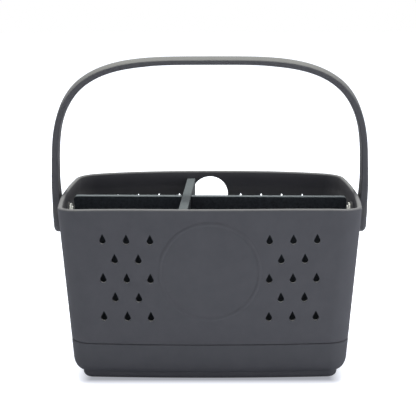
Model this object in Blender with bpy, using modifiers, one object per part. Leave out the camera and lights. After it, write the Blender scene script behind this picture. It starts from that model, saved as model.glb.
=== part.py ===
"""Bath caddy: a tapered basket standing in a drip tray, with a bail handle and loose dividers.

Metres, +Z up. The origin is the middle of the tray's foot, on the surface that it stands on.
X runs along the caddy, from one handle pivot to the other, and -Y is its front.
"""

import math

import bmesh
import bpy
from mathutils import Matrix, Vector

# Plan outline: half sizes at the middle of each side, at the rim and at the seam with the tray
RIM_HALF_LENGTH = 0.1550
RIM_HALF_DEPTH = 0.1187
SEAM_HALF_LENGTH = 0.1442
SEAM_HALF_DEPTH = 0.1075
END_BOW = 0.0059
RIM_LONG_BOW = 0.0122
SEAM_LONG_BOW = 0.0080
FOOT_LONG_BOW = 0.0045
CORNER_RADIUS = 0.0190
LEAST_CORNER_RADIUS = 0.0060

# Heights above the surface that the caddy stands on
FOOT_HEIGHT = 0.0079
TRAY_TURN_HEIGHT = 0.0230
SEAM_HEIGHT = 0.0387
RIM_HEIGHT = 0.1755
RIM_CROWN = 0.0031
CROWN_POWER = 3.5

# Clearances
REST_GAP = 0.0003
NEST_GAP = 0.0006
PRESS_GAP = 0.0001

# Drip tray
TRAY_WALL = 0.0024
TRAY_FLOOR = 0.0025
TRAY_LEAN = 0.0014
FOOT_INSET = 0.0104
FOOT_EDGE = 0.0035
FOOT_WALL = 0.0027
TRAY_EDGE = 0.0005

# Basket walls and floor
BASKET_WALL = 0.0031
RIM_THICKNESS = 0.0046
RIM_ROLL_DEPTH = 0.0095
DRIP_SPACE = 0.0056
BASKET_FLOOR = 0.0030
BASKET_TURN = 0.0070
SHOULDER_BLEND = 0.0080

# Drain holes: drops in rows on the front and back walls, round holes in the floor
DROP_RADIUS = 0.00325
DROP_HEIGHT = 0.0106
DROP_PITCH = 0.02339
DROP_ROW_PITCH = 0.0198
DROPS_BELOW_RIM = 0.0296
DROPS_ABOVE_SEAM = 0.0250
DROP_WIDE_COLUMNS = (2.5, 3.5, 4.5)
DROP_NARROW_COLUMNS = (3.0, 4.0)
DROP_BACK_EXTRA_COLUMN = 1.5
FLOOR_HOLE_RADIUS = 0.0032
FLOOR_HOLE_PITCH = 0.0270
FLOOR_HOLE_FROM_CROSS = 0.0310
FLOOR_HOLE_ROWS = (-2, -1, 1, 2)
FLOOR_HOLE_LEFT = 3
FLOOR_HOLE_RIGHT = 5
HANG_HOLE_RADIUS = 0.0203
HANG_HOLE_BELOW_RIM = 0.0234

# Plain raised ring on the front wall
RING_RADIUS = 0.0490
RING_BELOW_RIM = 0.0606
RING_WIDTH = 0.0044
RING_RELIEF = 0.0005
RING_ROOT = 0.0012

# Handle: an arch with squarish bends on arms that bow out past the pads
PIVOT_BELOW_RIM = 0.0265
GRIP_ABOVE_PIVOT = 0.1650
ARM_BOW = 0.0031
ARM_BOW_ABOVE_PIVOT = 0.0423
ARM_BOW_POWER = 1.5
ARCH_POWER_OUT = 3.70
ARCH_POWER_UP = 3.18
GRIP_THICKNESS = 0.0076
BEND_THICKNESS = 0.0083
BEND_BELOW_GRIP = 0.0240
ARM_THICKNESS = 0.0058
ARM_BELOW_GRIP = 0.0710
ARM_FOOT_ABOVE_PIVOT = 0.0660
HANDLE_WIDTH = 0.0240
HANDLE_SECTION_POWER = 3.2
PAD_RADIUS = 0.0165
PAD_THICKNESS = 0.0100
PAD_EDGE = 0.0042

# Pivot fittings
WALL_BOSS_RADIUS = 0.0150
WALL_BOSS_PROUD = 0.0003
PIN_RADIUS = 0.0040
PIN_HEAD_RADIUS = 0.0110
PIN_HEAD_THICKNESS = 0.0013
PIN_DEPTH_IN_PAD = 0.0062
WASHER_RADIUS = 0.0140
WASHER_THICKNESS = 0.0016
WASHER_EDGE = 0.0004

# Dividers
DIVIDER_THICKNESS = 0.0092
DIVIDER_WALL = 0.0016
DIVIDER_BELOW_RIM = 0.0048
DIVIDER_TURN = math.radians(-1.7)
DIVIDER_BEVEL_ANGLE = math.radians(60)
DIVIDER_CORNER = 0.0040
DIVIDER_FOOT_BEVEL = 0.0060
DIVIDER_EDGE = 0.0008
DIVIDER_PIN_GAP = 0.0012
CROSS_TOP_GAP = 0.0020
DIVIDER_FOOT_GAP = 0.0025
CROSS_OFFSET = -0.0247
LAP_GAP = 0.0004

# Facets and shading
SHARP_ANGLE = math.radians(35)
CORNER_STEPS = 5
LONG_STEPS = 10
SHORT_STEPS = 6
RIM_STEPS = 6
TURN_STEPS = 4
ROUND_STEPS = 24
DROP_STEPS = 9
FLOOR_HOLE_STEPS = 10
HANG_HOLE_STEPS = 32
ARCH_STEPS = 24
ARM_STEPS = 6
SECTION_STEPS = 12
RING_STEPS = 64

# Worked out from the sizes above
RIM_RADIUS = RIM_THICKNESS / 2
RIM_TANGENT = RIM_HEIGHT - RIM_RADIUS
TRAY_FLOOR_TOP = FOOT_HEIGHT + TRAY_FLOOR
BASKET_BOTTOM = TRAY_FLOOR_TOP + DRIP_SPACE
FLOOR_TOP = BASKET_BOTTOM + BASKET_FLOOR
SHOULDER_HEIGHT = SEAM_HEIGHT + REST_GAP
SHOULDER_INSET = TRAY_WALL + NEST_GAP
LOWER_INSET = SHOULDER_INSET + TRAY_LEAN + NEST_GAP
PIVOT_HEIGHT = RIM_HEIGHT - PIVOT_BELOW_RIM
GRIP_HEIGHT = PIVOT_HEIGHT + GRIP_ABOVE_PIVOT
HANG_HOLE_HEIGHT = RIM_HEIGHT - HANG_HOLE_BELOW_RIM
RING_HEIGHT = RIM_HEIGHT - RING_BELOW_RIM
DROP_TOP_ROW = RIM_HEIGHT - DROPS_BELOW_RIM
DROP_ROWS = 1 + int((DROP_TOP_ROW - SEAM_HEIGHT - DROPS_ABOVE_SEAM) / DROP_ROW_PITCH)
BORE_RADIUS = PIN_RADIUS + REST_GAP
DIVIDER_LOW = FLOOR_TOP + REST_GAP
DIVIDER_TOP = RIM_HEIGHT - DIVIDER_BELOW_RIM
DIVIDER_MIDDLE = (DIVIDER_LOW + DIVIDER_TOP) / 2
LAP_HALF = DIVIDER_THICKNESS / 2 + LAP_GAP


def share_at(height):
    """0 at the seam and 1 at the rim: how far the wall has widened."""
    return max(0.0, (height - SEAM_HEIGHT) / (RIM_TANGENT - SEAM_HEIGHT))


def half_length_at(height):
    return SEAM_HALF_LENGTH + (RIM_HALF_LENGTH - SEAM_HALF_LENGTH) * share_at(height)


def half_depth_at(height):
    return SEAM_HALF_DEPTH + (RIM_HALF_DEPTH - SEAM_HALF_DEPTH) * share_at(height)


def wall_at(height):
    """Thickness of the basket's wall, which grows towards the rim."""
    share = (height - RIM_TANGENT + RIM_ROLL_DEPTH) / RIM_ROLL_DEPTH
    return BASKET_WALL + (RIM_THICKNESS - BASKET_WALL) * min(max(share, 0.0), 1.0)


def long_bow_at(height, share):
    """How far the long sides bow out: least at the foot, most at the rim."""
    below = min(height / SEAM_HEIGHT, 1.0)
    bow = FOOT_LONG_BOW + (SEAM_LONG_BOW - FOOT_LONG_BOW) * below
    return bow + (RIM_LONG_BOW - SEAM_LONG_BOW) * share


def bowed(x, y, core_x, core_y, long_bow):
    """Push a point of the straight-sided outline out onto the bowed one."""
    bowed_x = x * (1 + END_BOW / core_x * (1 - (y / core_y) ** 2))
    bowed_y = y * (1 + long_bow / core_y * (1 - (x / core_x) ** 2))
    return bowed_x, bowed_y


def plan_ring(height, inset=0.0, share=None):
    """One horizontal outline of the caddy, anticlockwise seen from above."""
    share = share_at(height) if share is None else share
    half_length = SEAM_HALF_LENGTH + (RIM_HALF_LENGTH - SEAM_HALF_LENGTH) * share - inset
    half_depth = SEAM_HALF_DEPTH + (RIM_HALF_DEPTH - SEAM_HALF_DEPTH) * share - inset
    long_bow = long_bow_at(height, share)
    core_x = half_length - END_BOW
    core_y = half_depth - long_bow
    radius = max(CORNER_RADIUS - inset, LEAST_CORNER_RADIUS)
    centres = ((1, 1), (-1, 1), (-1, -1), (1, -1))
    points = []
    for quarter, (side_x, side_y) in enumerate(centres):
        centre_x = side_x * (core_x - radius)
        centre_y = side_y * (core_y - radius)
        for step in range(CORNER_STEPS + 1):
            angle = math.pi / 2 * (quarter + step / CORNER_STEPS)
            points.append((centre_x + radius * math.cos(angle), centre_y + radius * math.sin(angle)))
        side_steps = LONG_STEPS if quarter % 2 == 0 else SHORT_STEPS
        next_x, next_y = centres[(quarter + 1) % 4]
        start = Vector(points[-1])
        angle = math.pi / 2 * (quarter + 1)
        end = Vector((
            next_x * (core_x - radius) + radius * math.cos(angle),
            next_y * (core_y - radius) + radius * math.sin(angle),
        ))
        for step in range(1, side_steps):
            points.append(tuple(start.lerp(end, step / side_steps)))
    ring = []
    for x, y in points:
        ring_x, ring_y = bowed(x, y, core_x, core_y, long_bow)
        crown = RIM_CROWN * share * (1 - abs(ring_x / RIM_HALF_LENGTH) ** CROWN_POWER)
        ring.append(Vector((ring_x, ring_y, height + crown)))
    return ring


def new_object(name, mesh, collection, material=None):
    """A mesh as a named object, smooth but for its sharp edges."""
    mesh.shade_smooth()
    mesh.set_sharp_from_angle(angle=SHARP_ANGLE)
    thing = bpy.data.objects.new(name, mesh)
    collection.objects.link(thing)
    if material:
        mesh.materials.append(material)
    return thing


def loft(name, rings, collection, material=None, endless=False):
    """Skin a run of outlines that have equal numbers of points, with flat ends."""
    shape = bmesh.new()
    rows = [[shape.verts.new(point) for point in ring] for ring in rings]
    pairs = list(zip(rows, rows[1:]))
    if endless:
        pairs.append((rows[-1], rows[0]))
    for low, high in pairs:
        for index in range(len(low)):
            following = (index + 1) % len(low)
            shape.faces.new((low[index], low[following], high[following], high[index]))
    if not endless:
        shape.faces.new(list(reversed(rows[0])))
        shape.faces.new(rows[-1])
    bmesh.ops.recalc_face_normals(shape, faces=shape.faces)
    mesh = bpy.data.meshes.new(name)
    shape.to_mesh(mesh)
    shape.free()
    return new_object(name, mesh, collection, material)


def slab(name, outline, half_thickness, collection, material=None):
    """A flat outline in X and Z, extruded both ways along Y."""
    curve = bpy.data.curves.new(name, "CURVE")
    curve.dimensions = "2D"
    curve.fill_mode = "BOTH"
    curve.extrude = half_thickness
    spline = curve.splines.new("POLY")
    spline.points.add(len(outline) - 1)
    for point, (x, z) in zip(spline.points, outline):
        point.co = (x, z, 0.0, 1.0)
    spline.use_cyclic_u = True
    holder = bpy.data.objects.new(name + "_outline", curve)
    collection.objects.link(holder)
    evaluated = holder.evaluated_get(bpy.context.evaluated_depsgraph_get())
    mesh = bpy.data.meshes.new_from_object(evaluated)
    bpy.data.objects.remove(holder)
    bpy.data.curves.remove(curve)
    shape = bmesh.new()
    shape.from_mesh(mesh)
    bmesh.ops.remove_doubles(shape, verts=shape.verts, dist=0.00001)
    bmesh.ops.recalc_face_normals(shape, faces=shape.faces)
    shape.to_mesh(mesh)
    shape.free()
    mesh.name = name
    mesh.transform(Matrix.Rotation(math.pi / 2, 4, "X"))
    return new_object(name, mesh, collection, material)


def repeated(thing, places):
    """Turn an object's mesh into one copy of itself at each place."""
    pattern = bmesh.new()
    for place in places:
        copy = thing.data.copy()
        copy.transform(Matrix.Translation(place))
        pattern.from_mesh(copy)
        bpy.data.meshes.remove(copy)
    pattern.to_mesh(thing.data)
    pattern.free()
    return thing


def cylinder(name, radius, start, end, axis, collection, steps=ROUND_STEPS):
    """A cylinder along X, Y or Z between two centres."""
    turns = {
        "X": Matrix.Rotation(math.pi / 2, 4, "Y"),
        "Y": Matrix.Rotation(math.pi / 2, 4, "X"),
        "Z": Matrix.Identity(4),
    }
    shape = bmesh.new()
    bmesh.ops.create_cone(
        shape, cap_ends=True, segments=steps, radius1=radius, radius2=radius,
        depth=(Vector(end) - Vector(start)).length, matrix=turns[axis],
    )
    mesh = bpy.data.meshes.new(name)
    shape.to_mesh(mesh)
    shape.free()
    thing = new_object(name, mesh, collection)
    thing.location = (Vector(start) + Vector(end)) / 2
    return thing


def turned(name, profile, side, collection, material=None, closed=False):
    """Turn a profile of radii and distances about the X axis, on one side of the caddy."""
    mesh = bpy.data.meshes.new(name)
    points = [(radius, 0.0, distance) for radius, distance in profile]
    edges = [(index, index + 1) for index in range(len(points) - 1)]
    if closed:
        edges.append((len(points) - 1, 0))
    mesh.from_pydata(points, edges, [])
    thing = new_object(name, mesh, collection, material)
    thing.location = (0.0, 0.0, PIVOT_HEIGHT)
    thing.rotation_euler = (0.0, side * math.pi / 2, 0.0)
    screw = thing.modifiers.new("turn", "SCREW")
    screw.steps = ROUND_STEPS
    screw.render_steps = ROUND_STEPS
    screw.use_merge_vertices = True
    screw.merge_threshold = 0.00001
    return thing


def combine(thing, other, operation):
    """Join or cut a solid with another one, which becomes a hidden guide that moves with it."""
    other.parent = thing
    other.hide_render = True
    other.display_type = "WIRE"
    boolean = thing.modifiers.new(operation.lower() + "_" + other.name, "BOOLEAN")
    boolean.operation = operation
    boolean.object = other
    boolean.solver = "EXACT"


def arc_steps(count):
    return [math.pi / 2 * step / count for step in range(count + 1)]


def make_tray(parts, material):
    """Drip tray: one skin from the underside, round the foot and the outside, into the dish."""
    rings = [plan_ring(FOOT_HEIGHT, FOOT_INSET + FOOT_WALL, 0.0)]
    rings.append(plan_ring(0.0, FOOT_INSET + FOOT_EDGE + FOOT_WALL, 0.0))
    for angle in arc_steps(TURN_STEPS - 1):
        inset = FOOT_INSET + FOOT_EDGE * (1 - math.sin(angle))
        rings.append(plan_ring(FOOT_EDGE * (1 - math.cos(angle)), inset, 0.0))
    turn_width = FOOT_INSET - TRAY_LEAN
    turn_height = TRAY_TURN_HEIGHT - FOOT_HEIGHT
    for angle in arc_steps(TURN_STEPS):
        inset = FOOT_INSET - turn_width * math.sin(angle)
        rings.append(plan_ring(FOOT_HEIGHT + turn_height * (1 - math.cos(angle)), inset, 0.0))
    rings.append(plan_ring(SEAM_HEIGHT - TRAY_EDGE, 0.0, 0.0))
    rings.append(plan_ring(SEAM_HEIGHT, TRAY_EDGE, 0.0))
    rings.append(plan_ring(SEAM_HEIGHT, TRAY_WALL, 0.0))
    inner_height = TRAY_TURN_HEIGHT - TRAY_FLOOR_TOP
    for angle in reversed(arc_steps(TURN_STEPS)):
        inset = FOOT_INSET + TRAY_WALL - turn_width * math.sin(angle)
        rings.append(plan_ring(TRAY_FLOOR_TOP + inner_height * (1 - math.cos(angle)), inset, 0.0))
    loft("drip_tray", rings, parts, material)


def basket_rings():
    """One skin from the underside of the floor, up the outside, over the rim and down inside."""
    rings = []
    for angle in arc_steps(TURN_STEPS - 1):
        inset = LOWER_INSET + BASKET_TURN * (1 - math.sin(angle))
        rings.append(plan_ring(BASKET_BOTTOM + BASKET_TURN * (1 - math.cos(angle)), inset, 0.0))
    rings.append(plan_ring(SHOULDER_HEIGHT, SHOULDER_INSET, 0.0))
    rings.append(plan_ring(SHOULDER_HEIGHT, TRAY_EDGE, 0.0))
    rings.append(plan_ring(SHOULDER_HEIGHT + TRAY_EDGE))
    for step in range(RIM_STEPS + 1):
        angle = math.pi * step / RIM_STEPS
        inset = RIM_RADIUS * (1 - math.cos(angle))
        rings.append(plan_ring(RIM_TANGENT + RIM_RADIUS * math.sin(angle), inset, 1.0))
    rings.append(plan_ring(RIM_TANGENT - RIM_ROLL_DEPTH, BASKET_WALL))
    rings.append(plan_ring(SHOULDER_HEIGHT + SHOULDER_BLEND, BASKET_WALL))
    rings.append(plan_ring(SHOULDER_HEIGHT, SHOULDER_INSET + BASKET_WALL, 0.0))
    for angle in reversed(arc_steps(TURN_STEPS - 1)):
        inset = LOWER_INSET + BASKET_WALL + BASKET_TURN * (1 - math.sin(angle))
        rings.append(plan_ring(FLOOR_TOP + BASKET_TURN * (1 - math.cos(angle)), inset, 0.0))
    return rings


def drop_outline():
    """A drop with a point at the top, about the centre of its round end."""
    tip = DROP_HEIGHT - DROP_RADIUS
    tangent = math.asin(DROP_RADIUS / tip)
    sweep = math.pi + 2 * tangent
    outline = [(0.0, tip)]
    for step in range(DROP_STEPS + 1):
        angle = math.pi - tangent + sweep * step / DROP_STEPS
        outline.append((DROP_RADIUS * math.cos(angle), DROP_RADIUS * math.sin(angle)))
    return outline


def drop_places(extra_column):
    """Centres of the drops on one long wall, on both sides of its middle."""
    places = []
    for row in range(DROP_ROWS):
        columns = DROP_WIDE_COLUMNS if row % 2 == 0 else DROP_NARROW_COLUMNS
        if row == 0 and extra_column:
            columns = (extra_column,) + columns
        height = DROP_TOP_ROW - DROP_ROW_PITCH * row
        for column in columns:
            places.append((column * DROP_PITCH, height))
            places.append((-column * DROP_PITCH, height))
    return places


def cut_drops(basket, cutters, side, extra_column):
    """Cut the drops through the front wall (side -1) or the back wall (side 1)."""
    reach = (RIM_HALF_DEPTH - SEAM_HALF_DEPTH + RIM_LONG_BOW + 2 * BASKET_WALL) / 2
    middle = side * (RIM_HALF_DEPTH + BASKET_WALL - reach)
    name = "front_drops" if side < 0 else "back_drops"
    drops = slab(name, drop_outline(), reach, cutters)
    repeated(drops, [Vector((x, middle, z)) for x, z in drop_places(extra_column)])
    combine(basket, drops, "DIFFERENCE")


def cut_floor_holes(basket, cutters):
    """Round drain holes on both sides of each divider."""
    first_left = CROSS_OFFSET - FLOOR_HOLE_FROM_CROSS
    first_right = CROSS_OFFSET + FLOOR_HOLE_FROM_CROSS
    columns = [first_left - FLOOR_HOLE_PITCH * index for index in range(FLOOR_HOLE_LEFT)]
    columns += [first_right + FLOOR_HOLE_PITCH * index for index in range(FLOOR_HOLE_RIGHT)]
    start = (0, 0, BASKET_BOTTOM - BASKET_FLOOR)
    end = (0, 0, FLOOR_TOP + BASKET_FLOOR)
    holes = cylinder("floor_holes", FLOOR_HOLE_RADIUS, start, end, "Z", cutters, FLOOR_HOLE_STEPS)
    places = [Vector((x, row * FLOOR_HOLE_PITCH, 0.0)) for x in columns for row in FLOOR_HOLE_ROWS]
    repeated(holes, places)
    combine(basket, holes, "DIFFERENCE")


def front_wall_y(x, height):
    """The front wall's outer surface at a point seen from the front."""
    core_x = half_length_at(height) - END_BOW
    long_bow = long_bow_at(height, share_at(height))
    return -(half_depth_at(height) - long_bow * (x / core_x) ** 2)


def add_ring(basket, cutters):
    """A plain raised ring that follows the bow and slope of the front wall."""
    rings = []
    for step in range(RING_STEPS):
        angle = 2 * math.pi * step / RING_STEPS
        section = []
        corners = ((-1, RING_ROOT), (1, RING_ROOT), (1, -RING_RELIEF), (-1, -RING_RELIEF))
        for radial, outward in corners:
            radius = RING_RADIUS + radial * RING_WIDTH / 2
            x = radius * math.cos(angle)
            z = RING_HEIGHT + radius * math.sin(angle)
            section.append(Vector((x, front_wall_y(x, z) + outward, z)))
        rings.append(section)
    combine(basket, loft("front_ring", rings, cutters, endless=True), "UNION")


def boss_faces():
    """Distances out of the inner and outer flat faces of the boss in each end wall."""
    walls = (
        half_length_at(PIVOT_HEIGHT - WALL_BOSS_RADIUS),
        half_length_at(PIVOT_HEIGHT + WALL_BOSS_RADIUS),
    )
    return min(walls) - BASKET_WALL - WALL_BOSS_PROUD, max(walls) + WALL_BOSS_PROUD


def head_seat():
    """Distance out of the face of the washer that each pin's head sits on."""
    return boss_faces()[0] - WASHER_THICKNESS - 2 * REST_GAP


def make_basket(parts, cutters, material):
    basket = loft("basket", basket_rings(), parts, material)
    inner, outer = boss_faces()
    for side, label in ((-1, "left"), (1, "right")):
        start = (side * inner, 0, PIVOT_HEIGHT)
        end = (side * outer, 0, PIVOT_HEIGHT)
        combine(basket, cylinder(label + "_boss", WALL_BOSS_RADIUS, start, end, "X", cutters), "UNION")
    add_ring(basket, cutters)
    cut_drops(basket, cutters, -1, None)
    cut_drops(basket, cutters, 1, DROP_BACK_EXTRA_COLUMN)
    cut_floor_holes(basket, cutters)
    start = (0, SEAM_HALF_DEPTH - RIM_LONG_BOW, HANG_HOLE_HEIGHT)
    end = (0, RIM_HALF_DEPTH + RIM_LONG_BOW, HANG_HOLE_HEIGHT)
    hole = cylinder("hang_hole", HANG_HOLE_RADIUS, start, end, "Y", cutters, HANG_HOLE_STEPS)
    combine(basket, hole, "DIFFERENCE")
    for side, label in ((-1, "left"), (1, "right")):
        start = (side * (inner - BASKET_WALL), 0, PIVOT_HEIGHT)
        end = (side * (outer + BASKET_WALL), 0, PIVOT_HEIGHT)
        combine(basket, cylinder(label + "_bore", BORE_RADIUS, start, end, "X", cutters), "DIFFERENCE")


def handle_thickness(height):
    """Thickness of the strap: even on the grip, more round the bends, thin on the arms."""
    stations = (
        (PIVOT_HEIGHT, PAD_THICKNESS - 2 * REST_GAP),
        (PIVOT_HEIGHT + ARM_FOOT_ABOVE_PIVOT, ARM_THICKNESS),
        (GRIP_HEIGHT - ARM_BELOW_GRIP, ARM_THICKNESS),
        (GRIP_HEIGHT - BEND_BELOW_GRIP, BEND_THICKNESS),
    )
    for (low, thin), (high, thick) in zip(stations, stations[1:]):
        if height <= high:
            share = (height - low) / (high - low)
            return thin + (thick - thin) * share * share * (3 - 2 * share)
    share = (height - GRIP_HEIGHT + BEND_BELOW_GRIP) / BEND_BELOW_GRIP
    return BEND_THICKNESS + (GRIP_THICKNESS - BEND_THICKNESS) * share


def handle_spine(pad_middle):
    """The middle of the strap as X, Z and thickness, from the left pivot over to the right one."""
    widest = pad_middle + ARM_BOW
    arch_foot = PIVOT_HEIGHT + ARM_BOW_ABOVE_PIVOT
    arch_rise = GRIP_HEIGHT - arch_foot
    places = []
    for angle in reversed(arc_steps(ARCH_STEPS)):
        out = widest * math.cos(angle) ** (2 / ARCH_POWER_OUT)
        places.append((out, arch_foot + arch_rise * math.sin(angle) ** (2 / ARCH_POWER_UP)))
    for step in range(1, ARM_STEPS + 1):
        share = step / ARM_STEPS
        out = widest - ARM_BOW * share ** ARM_BOW_POWER
        places.append((out, arch_foot - ARM_BOW_ABOVE_PIVOT * share))
    right = [Vector((x, z, handle_thickness(z))) for x, z in places]
    left = [Vector((-station.x, station.y, station.z)) for station in right[1:]]
    return list(reversed(left)) + right


def handle_section(station, ahead):
    """Flattened round section of the strap, square to the spine."""
    forward = Vector((ahead.x, 0.0, ahead.y)).normalized()
    outward = Vector((-forward.z, 0.0, forward.x))
    centre = Vector((station.x, 0.0, station.y))
    power = 2 / HANDLE_SECTION_POWER
    ring = []
    for step in range(SECTION_STEPS):
        angle = 2 * math.pi * step / SECTION_STEPS
        across = math.copysign(abs(math.cos(angle)) ** power, math.cos(angle)) * HANDLE_WIDTH / 2
        out = math.copysign(abs(math.sin(angle)) ** power, math.sin(angle)) * station.z / 2
        ring.append(centre + Vector((0.0, across, 0.0)) + outward * out)
    return ring


def make_handle(parts, cutters, material):
    """Bail handle: a strap over the caddy, a round pad at each end and a blind hole for each pin."""
    pad_inner = boss_faces()[1] + REST_GAP
    pad_outer = pad_inner + PAD_THICKNESS
    stations = handle_spine(pad_inner + PAD_THICKNESS / 2)
    rings = []
    for index, station in enumerate(stations):
        ahead = stations[min(index + 1, len(stations) - 1)] - stations[max(index - 1, 0)]
        rings.append(handle_section(station, ahead))
    handle = loft("handle", rings, parts, material)
    for side, label in ((-1, "left"), (1, "right")):
        profile = [(0.0, pad_outer)]
        for angle in arc_steps(TURN_STEPS):
            radius = PAD_RADIUS - PAD_EDGE * (1 - math.sin(angle))
            profile.append((radius, pad_outer - PAD_EDGE * (1 - math.cos(angle))))
        profile += [(PAD_RADIUS, pad_inner), (0.0, pad_inner)]
        combine(handle, turned(label + "_pad", profile, side, cutters), "UNION")
    hole_end = pad_inner + PIN_DEPTH_IN_PAD + REST_GAP
    for side, label in ((-1, "left"), (1, "right")):
        start = (side * (pad_inner - PAD_EDGE), 0, PIVOT_HEIGHT)
        end = (side * hole_end, 0, PIVOT_HEIGHT)
        hole = cylinder(label + "_pin_hole", PIN_RADIUS + PRESS_GAP, start, end, "X", cutters)
        combine(handle, hole, "DIFFERENCE")


def make_pivot(side, label, parts, material):
    """Headed pin through the end wall into the handle's pad, with a washer under its head."""
    inner, outer = boss_faces()
    seat = head_seat()
    washer_profile = [
        (BORE_RADIUS, inner - REST_GAP), (WASHER_RADIUS, inner - REST_GAP),
        (WASHER_RADIUS, seat + REST_GAP + WASHER_EDGE), (WASHER_RADIUS - WASHER_EDGE, seat + REST_GAP),
        (BORE_RADIUS, seat + REST_GAP),
    ]
    turned(label + "_washer", washer_profile, side, parts, material, closed=True)
    pin_end = outer + REST_GAP + PIN_DEPTH_IN_PAD
    profile = [
        (0.0, pin_end), (PIN_RADIUS - WASHER_EDGE, pin_end), (PIN_RADIUS, pin_end - WASHER_EDGE),
        (PIN_RADIUS, seat),
    ]
    for angle in arc_steps(TURN_STEPS):
        radius = PIN_HEAD_RADIUS - PIN_HEAD_THICKNESS * (1 - math.cos(angle))
        profile.append((radius, seat - PIN_HEAD_THICKNESS * math.sin(angle)))
    profile.append((0.0, seat - PIN_HEAD_THICKNESS))
    turned(label + "_pivot_pin", profile, side, parts, material)


def blade_outline(half_top, half_bottom):
    """A divider seen flat: narrower at the foot, with bevelled feet and rounded top corners."""
    outline = [
        (half_bottom - DIVIDER_FOOT_BEVEL, DIVIDER_LOW), (half_bottom, DIVIDER_LOW + DIVIDER_FOOT_BEVEL),
    ]
    for angle in arc_steps(TURN_STEPS):
        x = half_top - DIVIDER_CORNER * (1 - math.cos(angle))
        z = DIVIDER_TOP - DIVIDER_CORNER * (1 - math.sin(angle))
        outline.append((x, z))
    return outline + [(-x, z) for x, z in reversed(outline)]


def pocket(name, left, right, lean_left, lean_right, collection):
    """A hollow inside a divider, open below, between two ends that may lean outwards."""
    low = DIVIDER_LOW - DIVIDER_WALL
    high = DIVIDER_TOP - DIVIDER_WALL
    outline = [
        (left, low), (right, low),
        (right + lean_right * (high - low), high), (left - lean_left * (high - low), high),
    ]
    return slab(name, outline, DIVIDER_THICKNESS / 2 - DIVIDER_WALL, collection)


def make_divider(name, half_top, half_bottom, lap_at, lap_from_top, parts, cutters, material):
    """A hollow blade with a half lap where the other divider crosses it."""
    outline = blade_outline(half_top, half_bottom)
    blade = slab(name, outline, DIVIDER_THICKNESS / 2, parts, material)
    edge = blade.modifiers.new("edges", "BEVEL")
    edge.width = DIVIDER_EDGE
    edge.segments = 1
    edge.limit_method = "ANGLE"
    edge.angle_limit = DIVIDER_BEVEL_ANGLE
    lean = (half_top - half_bottom) / (DIVIDER_TOP - DIVIDER_LOW)
    post = LAP_HALF + DIVIDER_WALL
    end = half_bottom - DIVIDER_FOOT_BEVEL - DIVIDER_WALL
    combine(blade, pocket(name + "_left", -end, lap_at - post, lean, 0.0, cutters), "DIFFERENCE")
    combine(blade, pocket(name + "_right", lap_at + post, end, 0.0, lean, cutters), "DIFFERENCE")
    if lap_from_top:
        low, high = DIVIDER_MIDDLE - REST_GAP / 2, DIVIDER_TOP + DIVIDER_WALL
    else:
        low, high = DIVIDER_LOW - DIVIDER_WALL, DIVIDER_MIDDLE + REST_GAP / 2
    left, right = lap_at - LAP_HALF, lap_at + LAP_HALF
    lap = [(left, low), (right, low), (right, high), (left, high)]
    combine(blade, slab(name + "_lap", lap, DIVIDER_THICKNESS, cutters), "DIFFERENCE")
    return blade


def make_dividers(parts, cutters, material):
    """Two blades that cross in a half lap and stand loose, a little turned, on the basket's floor."""
    set_centre = bpy.data.objects.new("divider_set", None)
    parts.objects.link(set_centre)
    set_centre.rotation_euler = (0.0, 0.0, DIVIDER_TURN)
    foot_inset = LOWER_INSET + BASKET_WALL + DIVIDER_FOOT_GAP
    long_foot = SEAM_HALF_LENGTH - foot_inset
    beside_head = head_seat() - PIN_HEAD_THICKNESS - DIVIDER_PIN_GAP
    head_top = PIVOT_HEIGHT + PIN_HEAD_RADIUS
    slope = (beside_head - long_foot) / (head_top - DIVIDER_LOW)
    long_top = long_foot + slope * (DIVIDER_TOP - DIVIDER_LOW)
    long_divider = make_divider(
        "long_divider", long_top, long_foot, CROSS_OFFSET, True, parts, cutters, material,
    )
    long_divider.parent = set_centre
    cross_top = half_depth_at(DIVIDER_TOP) - wall_at(DIVIDER_TOP) - CROSS_TOP_GAP
    cross_foot = SEAM_HALF_DEPTH - foot_inset
    cross_divider = make_divider(
        "cross_divider", cross_top, cross_foot, 0.0, False, parts, cutters, material,
    )
    cross_divider.parent = set_centre
    cross_divider.location = (CROSS_OFFSET, 0.0, 0.0)
    cross_divider.rotation_euler = (0.0, 0.0, math.pi / 2)


def new_material(name, colour, roughness, metallic=0.0):
    material = bpy.data.materials.new(name)
    material.use_nodes = True
    surface = material.node_tree.nodes["Principled BSDF"]
    surface.inputs["Base Color"].default_value = (*colour, 1.0)
    surface.inputs["Roughness"].default_value = roughness
    surface.inputs["Metallic"].default_value = metallic
    material.diffuse_color = (*colour, 1.0)
    return material


def main():
    for thing in list(bpy.data.objects):
        bpy.data.objects.remove(thing)
    parts = bpy.data.collections.new("bath_caddy")
    cutters = bpy.data.collections.new("guides")
    bpy.context.scene.collection.children.link(parts)
    bpy.context.scene.collection.children.link(cutters)
    grey = new_material("warm_grey_plastic", (0.075, 0.076, 0.085), 0.5)
    dark = new_material("dark_grey_plastic", (0.040, 0.042, 0.048), 0.45)
    pale = new_material("pale_plastic", (0.80, 0.80, 0.80), 0.35)
    make_tray(parts, grey)
    make_basket(parts, cutters, grey)
    make_handle(parts, cutters, grey)
    for side, label in ((-1, "left"), (1, "right")):
        make_pivot(side, label, parts, pale)
    make_dividers(parts, cutters, dark)


main()
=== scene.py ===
import math

import bmesh
import bpy
from mathutils import Matrix, Vector


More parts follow.
